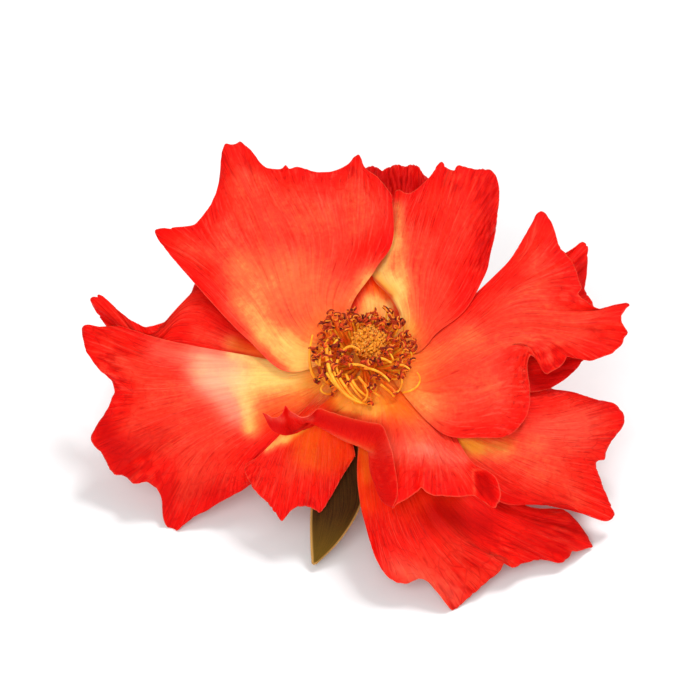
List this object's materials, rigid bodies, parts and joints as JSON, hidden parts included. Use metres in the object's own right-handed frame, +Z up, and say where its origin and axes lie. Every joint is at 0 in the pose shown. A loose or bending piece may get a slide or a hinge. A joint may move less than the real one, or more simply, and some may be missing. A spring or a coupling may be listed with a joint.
{
  "type": "rose flower",
  "caption": "Open red-orange semi-double rose bloom with a golden ring of stamens, folded-back sepals, a hip and a short cut stem, resting on its petals.",
  "frame": {"origin": "middle of the flower's outline at the level of the surface it rests on", "axes": "+Z up from the surface, -Y the side the bloom leans and looks towards, +Y the side the cut stem points to, +X to the right seen from -Y"},
  "size_m": [0.0883, 0.0743, 0.0363],
  "materials": {
    "petal": "satin",
    "sepal": "matte",
    "hip": "satin",
    "stamen": "matte",
    "style": "matte",
    "stem": "satin"
  },
  "bodies": {
    "root": {"petal_top_left": "petal", "petal_top_right": "petal", "petal_right": "petal", "petal_front": "petal", "petal_right_low": "petal", "petal_bottom": "petal", "petal_low_left": "petal", "petal_left": "petal", "petal_left_back": "petal", "petal_top_back": "petal", "petal_right_back": "petal", "sepal_front": "sepal", "sepal_right": "sepal", "sepal_back_right": "sepal", "sepal_back_left": "sepal", "sepal_left": "sepal", "hip": "hip", "stamens": "stamen", "styles": "style", "stem": "stem"}
  },
  "joints": []
}
